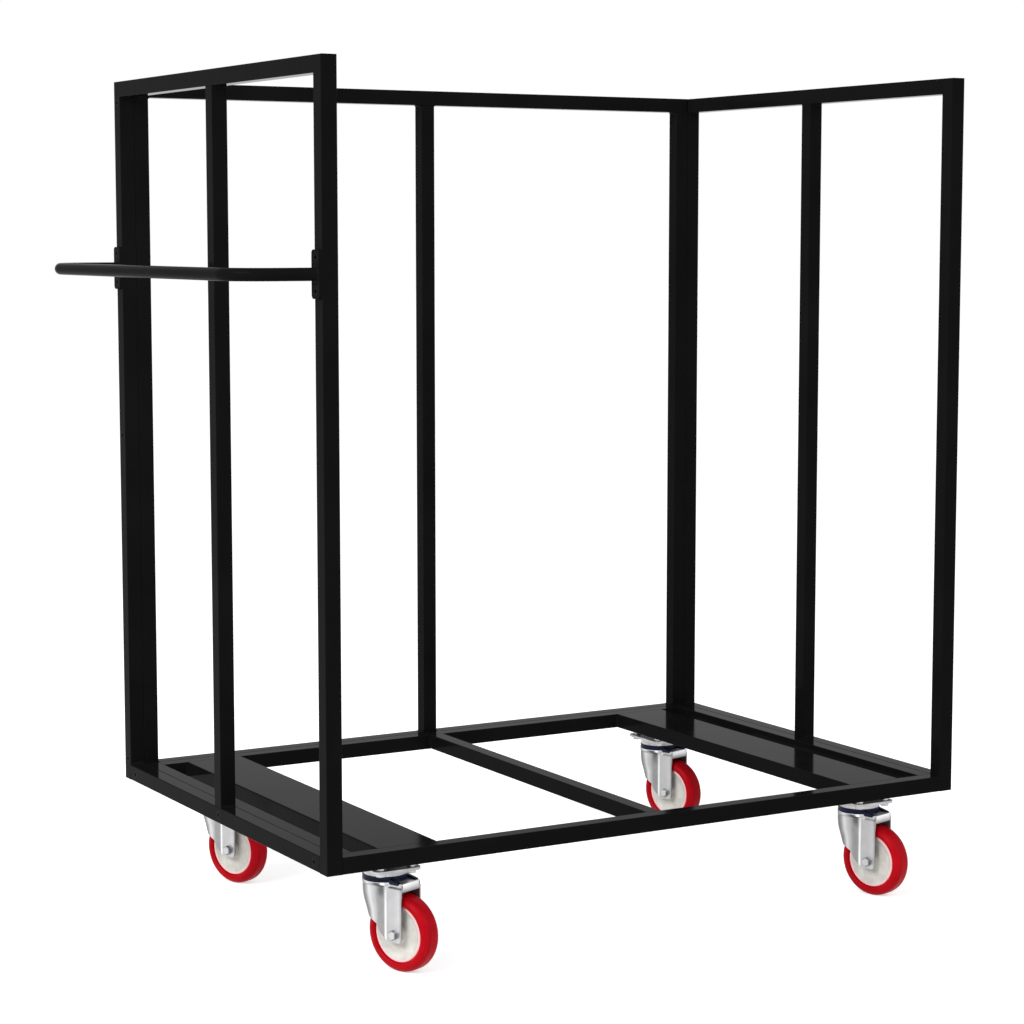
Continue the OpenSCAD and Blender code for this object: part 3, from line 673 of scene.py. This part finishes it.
# %% [markdown]
# ## Castor axes
# Every castor is the same, turned to its own angle, so its pieces are modelled once in the castor's own
# axes: the top of the plate on the swivel axis is the origin, +x trails towards the wheel and y is the
# axle. The heights are read from the CAD model's boxes and joints, so that the pieces stay right if the
# castor changes.

# %% Castor axes
CASTORS = ["front_left", "front_right", "rear_left", "rear_right"]
TRAIL = 36.0
plate_top = joints["front_left_swivel"]["pos_m"][2]
CROWN_Z = (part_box("front_left_fork")[1].z - plate_top) / MM
FOOT_Z = (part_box("front_left_fork")[0].z - plate_top) / MM
AXLE_Z = (joints["front_left_wheel_spin"]["pos_m"][2] - plate_top) / MM
AXLE = Vector((TRAIL * MM, 0.0, AXLE_Z * MM))
print("crown", round(CROWN_Z, 2), "foot", round(FOOT_Z, 2), "axle", round(AXLE_Z, 2),
      "mm from the top of the plate")


def castor_place(castor):
    """The matrix from a castor's own axes to the trolley's."""
    swivel = joints[castor + "_swivel"]
    axle = joints[castor + "_wheel_spin"]["axis"]
    turn_by = math.atan2(axle[1], axle[0]) - math.pi / 2
    return Matrix.Translation(Vector(swivel["pos_m"])) @ Matrix.Rotation(turn_by, 4, "Z")


def fit_four(model, role, body, material):
    """Copies a castor piece to the four castors, in place of the CAD nodes."""
    for castor in CASTORS:
        copy = copied(model, castor + "_" + role + "_finished", castor_place(castor))
        dress(copy, castor + body, material)
        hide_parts(castor + "_" + role)
    print(role, "triangles each:", sum(len(p.vertices) - 2 for p in model.data.polygons))
    bpy.data.objects.remove(model)


# %% [markdown]
# ## Tyre and hub
# The wheel is a red polyurethane tyre cast onto an off-white hub. The tyre's flank bulges past the rim
# and turns into a round shoulder, so it can't be a plain cylinder. The hub is a shallow dish with a boss
# for the axle.

# %% Wheel
TYRE_R, TYRE_HALF, SHOULDER, HUB_R = 59.0, 17.0, 11.0, 43.5
TURN_STEPS = 96


def both_sides(half):
    """Mirrors a profile that runs from the inside out across the wheel's middle plane and closes it."""
    return half + [(r, -a) for r, a in reversed(half)] + [half[0]]


def seat_on_axle(piece):
    """Stores each point's distance from the axle, then moves the piece from the origin onto the axle."""
    radii = piece.data.attributes.new("wheel_radius", "FLOAT", "POINT")
    for i, vertex in enumerate(piece.data.vertices):
        radii.data[i].value = math.hypot(vertex.co.x, vertex.co.z)
    piece.location = AXLE
    bpy.ops.object.transform_apply(location=True)


flank = [(HUB_R, 12.6), (HUB_R + 0.5, 13.6), (HUB_R + 1.6, 15.2),
         (HUB_R + 2.8, 16.3), (HUB_R + 3.8, 16.85)]
shoulder = arc((TYRE_R - SHOULDER, TYRE_HALF - SHOULDER), SHOULDER, 90.0, 0.0, 12)
tyre = spun("tyre_model", both_sides(flank + shoulder + [(TYRE_R, 3.0)]), (0.0, 1.0, 0.0), TURN_STEPS)
seat_on_axle(tyre)
fit_four(tyre, "tyre", "_wheel", tyre_red)

boss = [(5.05, 17.5), (5.6, 18.0), (11.2, 18.0), (12.0, 17.2),
        (12.0, 11.6), (12.7, 10.0), (14.4, 9.2), (17.0, 9.0)]
dish = [(31.0, 9.0), (33.4, 9.25), (35.6, 10.1), (37.4, 11.5), (38.8, 12.7), (40.2, 13.4), (41.6, 13.5)]
rim = [(42.8, 13.2), (43.35, 12.5)]
hub = spun("hub_model", both_sides(boss + dish + rim), (0.0, 1.0, 0.0), TURN_STEPS)
seat_on_axle(hub)
fit_four(hub, "hub", "_wheel", hub_nylon)

# %% [markdown]
# ## Swivel seal
# A dark blue plastic ring closes the ball race, with a groove round its middle. On each side an arm
# reaches back and a tab hangs from it over the top of the fork's leg. The ring is spun, and the arm is a
# block that is cut in two places so that only its outer back part is pulled down into the tab.

# %% Seal
SEAL_R, SEAL_IN, SEAL_H = 34.6, 31.4, 8.2
ring_steps = [(SEAL_IN, 0.0), (SEAL_R - 0.5, 0.0), (SEAL_R, 0.5), (SEAL_R, 3.2), (SEAL_R - 0.3, 3.6),
              (SEAL_R - 1.2, 3.8), (SEAL_R - 1.2, 5.2), (SEAL_R - 0.3, 5.4), (SEAL_R, 5.8),
              (SEAL_R, SEAL_H - 0.6), (SEAL_R - 0.6, SEAL_H), (SEAL_IN, SEAL_H), (SEAL_IN, 0.0)]
seal = spun("seal_model", [(r, CROWN_Z + rise) for r, rise in ring_steps], (0.0, 0.0, 1.0), TURN_STEPS)


ARM_FROM, ARM_TO, TAB_FROM, ARM_IN, TAB_IN, TAB_OUT = 15.5, 46.0, 26.0, 17.0, 21.0, 23.0
ARM_RISE, ARM_SLOPE, TAB_DROP, TAB_TAPER = 6.0, 4.6, 2.8, 0.74
bpy.ops.object.select_all(action="DESELECT")
arm_middle = Vector(((ARM_FROM + ARM_TO) / 2, -(ARM_IN + TAB_OUT) / 2, CROWN_Z + ARM_RISE / 2)) * MM
bpy.ops.mesh.primitive_cube_add(size=1.0, location=arm_middle)
arm = bpy.context.object
arm.scale = ((ARM_TO - ARM_FROM) * MM, (TAB_OUT - ARM_IN) * MM, ARM_RISE * MM)
bpy.ops.object.transform_apply(location=True, scale=True)
edit(arm, "FACE")
bpy.ops.mesh.select_all(action="SELECT")
bpy.ops.mesh.bisect(plane_co=(TAB_FROM * MM, 0.0, 0.0), plane_no=(1.0, 0.0, 0.0))
bpy.ops.mesh.select_all(action="SELECT")
bpy.ops.mesh.bisect(plane_co=(0.0, -TAB_IN * MM, 0.0), plane_no=(0.0, 1.0, 0.0))
pick_faces(arm, lambda m, n: n.z < -0.9 and m.x > TAB_FROM and m.y < -TAB_IN)
draw_out((0.0, 0.0, -TAB_DROP * MM))
tab_middle = ((TAB_FROM + ARM_TO) / 2 * MM, 0.0, 0.0)
bpy.ops.transform.resize(value=(TAB_TAPER, 1.0, 1.0), center_override=tab_middle)
bpy.ops.mesh.select_mode(type="EDGE")
arm_end, arm_top = (ARM_TO - 0.1) * MM, (CROWN_Z + ARM_RISE - 0.1) * MM
pick_edges(arm, lambda line: all(p.co.x > arm_end and p.co.z > arm_top for p in line.verts))
bpy.ops.transform.translate(value=(0.0, 0.0, -ARM_SLOPE * MM))
close_edit(30.0)
apply_modifier(arm, "BEVEL", width=0.0008, segments=3, limit_method="ANGLE",
               angle_limit=math.radians(40.0))
apply_modifier(arm, "MIRROR", use_axis=(False, True, False), use_mirror_merge=False)
seal = joined([seal, arm], "seal_model")
bpy.ops.object.shade_smooth_by_angle(angle=math.radians(35.0))
fit_four(seal, "seal", "_swivel_fork", seal_blue)

# %% [markdown]
# ## Fork
# The fork is pressed from one sheet of steel. Its round head turns into a bowl at the front, which
# narrows and runs back into two flat cheeks, and each cheek ends in a raised strip for the axle. A flat
# grid is the sheet here: its middle column is the front, its outer columns are the two back edges, and
# each point is pressed to its place by a rule. Then the head is filled, the lip is pulled down at the
# back, and the sheet gets its wall.

# %% Fork rules
HEAD_R, FORK_OUT, STRIP_RAISE = 35.0, 21.0, 2.0
BOWL_STRAIGHT, BOWL_SETBACK, BOWL_POWER, BOWL_BULGE = 16.0, 9.0, 2.2, 4.5
NECK_FROM, NECK_TO = 2.6, 9.0
BEND_ROWS, BEND_DEPTH, FOOT_CORNER = 0.4, 14.0, 8.0
LEG_FRONT, LEG_BACK, LIP = 21.5, 50.5, 13.0
FRONT_SHARE, FRONT_DEPTH = 0.46, 58.0
FULL_DEPTH = CROWN_Z - FOOT_Z


def ease(value, start, end):
    """Goes smoothly from 0 at start to 1 at end."""
    t = min(max((value - start) / (end - start), 0.0), 1.0)
    return t * t * (3.0 - 2.0 * t)


def along(stops, value):
    """Reads a value between (place, value) stops, straight from one to the next."""
    for (here, a), (there, b) in zip(stops, stops[1:]):
        if value <= there:
            return a + (b - a) * min(max((value - here) / (there - here), 0.0), 1.0)
    return stops[-1][1]


def front_reach(depth):
    """How far the bowl stands ahead of the swivel axis at a depth below the head."""
    curved = max(depth - BOWL_STRAIGHT, 0.0) / (FRONT_DEPTH - BOWL_STRAIGHT)
    return HEAD_R - BOWL_SETBACK * curved ** BOWL_POWER


CHEEK_EDGE = [(0.0, 0.735), (2.5, 0.785), (4.7, 0.825), (7.0, 0.862), (9.5, 0.892), (12.0, 0.918),
              (15.0, 0.943), (18.5, 0.966), (21.5, 0.983), (24.0, 0.994), (27.0, 1.0)]


def edge_depth(x, around):
    """Depth of the sheet's lower edge: by the angle round the bowl, then along the cheek."""
    if around < 1.0:
        return FRONT_DEPTH + (along(CHEEK_EDGE, 0.0) * FULL_DEPTH - FRONT_DEPTH) * around ** 3
    corner = min(max(x - (LEG_BACK - FOOT_CORNER), 0.0), FOOT_CORNER)
    rounding = FOOT_CORNER - math.sqrt(FOOT_CORNER ** 2 - corner ** 2)
    return along(CHEEK_EDGE, x) * FULL_DEPTH - rounding


def sheet_spot(u, v):
    """A grid point's side, its share of the sheet and of the bowl, its place on the cheek, its depth."""
    share = abs(u)
    around = min(share / FRONT_SHARE, 1.0)
    x = max(share - FRONT_SHARE, 0.0) / (1.0 - FRONT_SHARE) * LEG_BACK
    depth_end = edge_depth(x, around)
    if v < BEND_ROWS:
        depth = BEND_DEPTH * v / BEND_ROWS
    else:
        depth = BEND_DEPTH + (depth_end - BEND_DEPTH) * (v - BEND_ROWS) / (1.0 - BEND_ROWS)
    return (-1.0 if u < 0.0 else 1.0), share, around, x, depth


def pressed(u, v):
    """A sheet point's place: u is -1 to 1 round the front, v is 0 at the head and 1 at the edge."""
    side, share, around, x, depth = sheet_spot(u, v)
    neck = ease(depth, NECK_FROM, NECK_TO)
    bulge = BOWL_BULGE * (1.0 - ease(depth, 12.0, 46.0))
    if share <= FRONT_SHARE:
        power = 1.0 - (0.29 - 0.12 * ease(depth, 30.0, 50.0)) * neck
        px = -front_reach(depth) * math.cos(around * math.pi / 2) ** power
        py = (HEAD_R + (FORK_OUT + bulge - HEAD_R) * neck) * math.sin(around * math.pi / 2) ** power
    else:
        px = x
        head = math.sqrt(max(HEAD_R ** 2 - x ** 2, 0.0))
        wall = FORK_OUT + bulge * (1.0 - ease(x, 0.0, 14.0))
        py = max(head, FORK_OUT) * (1.0 - neck) + wall * neck
        py += STRIP_RAISE * ease(x, LEG_FRONT - 5.0, LEG_FRONT) * ease(depth, 5.5, 8.5)
    return Vector((px, side * py, CROWN_Z - depth)) * MM


# Painted light on the fork: a painted highlight on the head and painted reflection bands round the bowl.
HEAD_PAINTED_HIGHLIGHT = 0.86
BOWL_PAINTED_REFLECTION = [(0.0, 0.28), (0.36, 0.16), (0.60, 0.02), (0.74, 0.20), (0.88, 0.56), (1.0, 0.34)]


def painted_light(u, v):
    """Painted light at a point: reflection bands on the bowl, shade on the cheek, a highlight at the strip."""
    side, share, around, x, depth = sheet_spot(u, v)
    if depth < 0.2:
        return HEAD_PAINTED_HIGHLIGHT
    if share <= FRONT_SHARE:
        return along(BOWL_PAINTED_REFLECTION, around)
    # The cheek gets painted shade, darkest just below the head, and a painted highlight at the strip's edge.
    fold_painted_shade = 0.18 * ease(depth, 10.0, 32.0)
    cheek = [(0.0, 0.34), (4.0, 0.20), (8.0, fold_painted_shade), (13.0, fold_painted_shade), (16.2, 0.24), (17.6, 0.94)]
    strip = [(20.8, 0.90), (22.4, 0.35), (36.0, 0.36), (46.0, 0.42), (50.5, 0.22)]
    return along(cheek + strip, x)


print("fork depth", round(FULL_DEPTH, 1), "mm; edge at the front", FRONT_DEPTH, "mm")

# %% Fork
COLUMNS, ROWS, LIP_PAINTED_SHADE = 160, 34, 0.06
SHEET_WALL, EDGE_ROUND = 0.0025, 0.0007
bpy.ops.object.select_all(action="DESELECT")
bpy.ops.mesh.primitive_grid_add(x_subdivisions=COLUMNS, y_subdivisions=ROWS, size=2.0)
fork = bpy.context.object
fork.name = "fork_model"
# Each grid point stores its painted light: painted reflection bands, painted highlights and painted shade.
painted_light_values = fork.data.attributes.new("painted_light", "FLOAT", "POINT")
for i, vertex in enumerate(fork.data.vertices):
    u, v = vertex.co.x, (1.0 - vertex.co.y) / 2.0
    painted_light_values.data[i].value = painted_light(u, v)
    vertex.co = pressed(u, v)
edit(fork, "EDGE")


def on_head(line):
    """True for an edge that lies in the plane of the fork's head."""
    return all(abs(point.co.z - CROWN_Z * MM) < 1e-7 for point in line.verts)


def at_back(line):
    """True for the long edge that crosses the head at the back, between the two legs."""
    behind = all(abs(point.co.x - LEG_BACK * MM) < 1e-6 for point in line.verts)
    return behind and on_head(line) and line.calc_length() > 0.03


pick_edges(fork, on_head)
bpy.ops.mesh.edge_face_add()
pick_edges(fork, at_back)
bpy.ops.mesh.extrude_edges_move(TRANSFORM_OT_translate={"value": (0.0, 0.0, -LIP * MM)})
# The lip's points get painted shade.
mesh = bmesh.from_edit_mesh(fork.data)
painted_light_values = mesh.verts.layers.float["painted_light"]
for vertex in mesh.verts:
    if vertex.select:
        vertex[painted_light_values] = LIP_PAINTED_SHADE
bmesh.update_edit_mesh(fork.data)
close_edit(40.0)
head_face = max(fork.data.polygons, key=lambda p: len(p.vertices))
print("head faces up:", head_face.normal.z > 0.9, "corners:", len(head_face.vertices))
inwards = -1.0 if head_face.normal.z > 0.0 else 1.0
apply_modifier(fork, "SOLIDIFY", thickness=SHEET_WALL, offset=inwards)
apply_modifier(fork, "BEVEL", width=EDGE_ROUND, segments=2, limit_method="ANGLE",
               angle_limit=math.radians(50.0))
bpy.ops.object.shade_smooth_by_angle(angle=math.radians(40.0))
fit_four(fork, "fork", "_swivel_fork", zinc_painted_light)

# %% [markdown]
# ## Axle bolt
# The axle bolt's head is a hexagon whose corners are turned off to a chamfer, so it looks nearly round
# from a distance. A six-sided cylinder gets the chamfer by a bevel on its outer rim, and a second
# cylinder is the shank that carries the wheel. The flat cap gets a painted highlight and the flanks get
# painted shade, so the bolt's points carry a painted light value, as the fork's do.

# %% Axle bolt
AXLE_R, HEAD_H, HEAD_FLATS, STRIP_OUT = 5.0, 6.4, 14.0, 23.0
# Painted light on the bolt: a painted highlight on the cap, painted shade on the flanks.
CAP_PAINTED_HIGHLIGHT, FLANK_PAINTED_SHADE = 0.44, 0.12
SHANK_END = -(STRIP_OUT + HEAD_H + 2.0)
bpy.ops.object.select_all(action="DESELECT")
bpy.ops.mesh.primitive_cylinder_add(vertices=32, radius=AXLE_R * MM, depth=(STRIP_OUT - SHANK_END) * MM,
                                    location=(0.0, 0.0, (STRIP_OUT + SHANK_END) / 2 * MM))
shank = bpy.context.object
bpy.ops.object.transform_apply(location=True)
edit(shank, "FACE")
pick_faces(shank, lambda m, n: n.z < -0.9)
bpy.ops.mesh.bevel(offset=0.0008, offset_type="OFFSET", segments=2, affect="EDGES")
close_edit(30.0)
bpy.ops.object.select_all(action="DESELECT")
head_corner = HEAD_FLATS / 2 / math.cos(math.pi / 6)
bpy.ops.mesh.primitive_cylinder_add(vertices=6, radius=head_corner * MM, depth=HEAD_H * MM,
                                    location=(0.0, 0.0, (STRIP_OUT + HEAD_H / 2) * MM))
bolt = bpy.context.object
bpy.ops.object.transform_apply(location=True)
edit(bolt, "FACE")
pick_faces(bolt, lambda m, n: n.z > 0.9)
bpy.ops.mesh.bevel(offset=0.0017, offset_type="OFFSET", segments=3, affect="EDGES")
close_edit(30.0)
bolt = joined([bolt, shank], "axle_bolt_model")
# Painted highlight on the cap, painted shade on the flanks.
painted_light_values = bolt.data.attributes.new("painted_light", "FLOAT", "POINT")
for i, vertex in enumerate(bolt.data.vertices):
    on_cap = vertex.co.z > (STRIP_OUT + HEAD_H) * MM - 1e-6
    painted_light_values.data[i].value = CAP_PAINTED_HIGHLIGHT if on_cap else FLANK_PAINTED_SHADE
bolt.location = AXLE
bolt.rotation_euler = (math.pi / 2, 0.0, 0.0)
bpy.ops.object.transform_apply(location=True, rotation=True)
bpy.ops.object.shade_smooth_by_angle(angle=math.radians(30.0))
fit_four(bolt, "axle_bolt", "_swivel_fork", zinc_painted_light)

# %% [markdown]
# ## Finish
# The dressed trolley should fill the same box as the CAD model.

# %% Finish
print("trolley dressed")
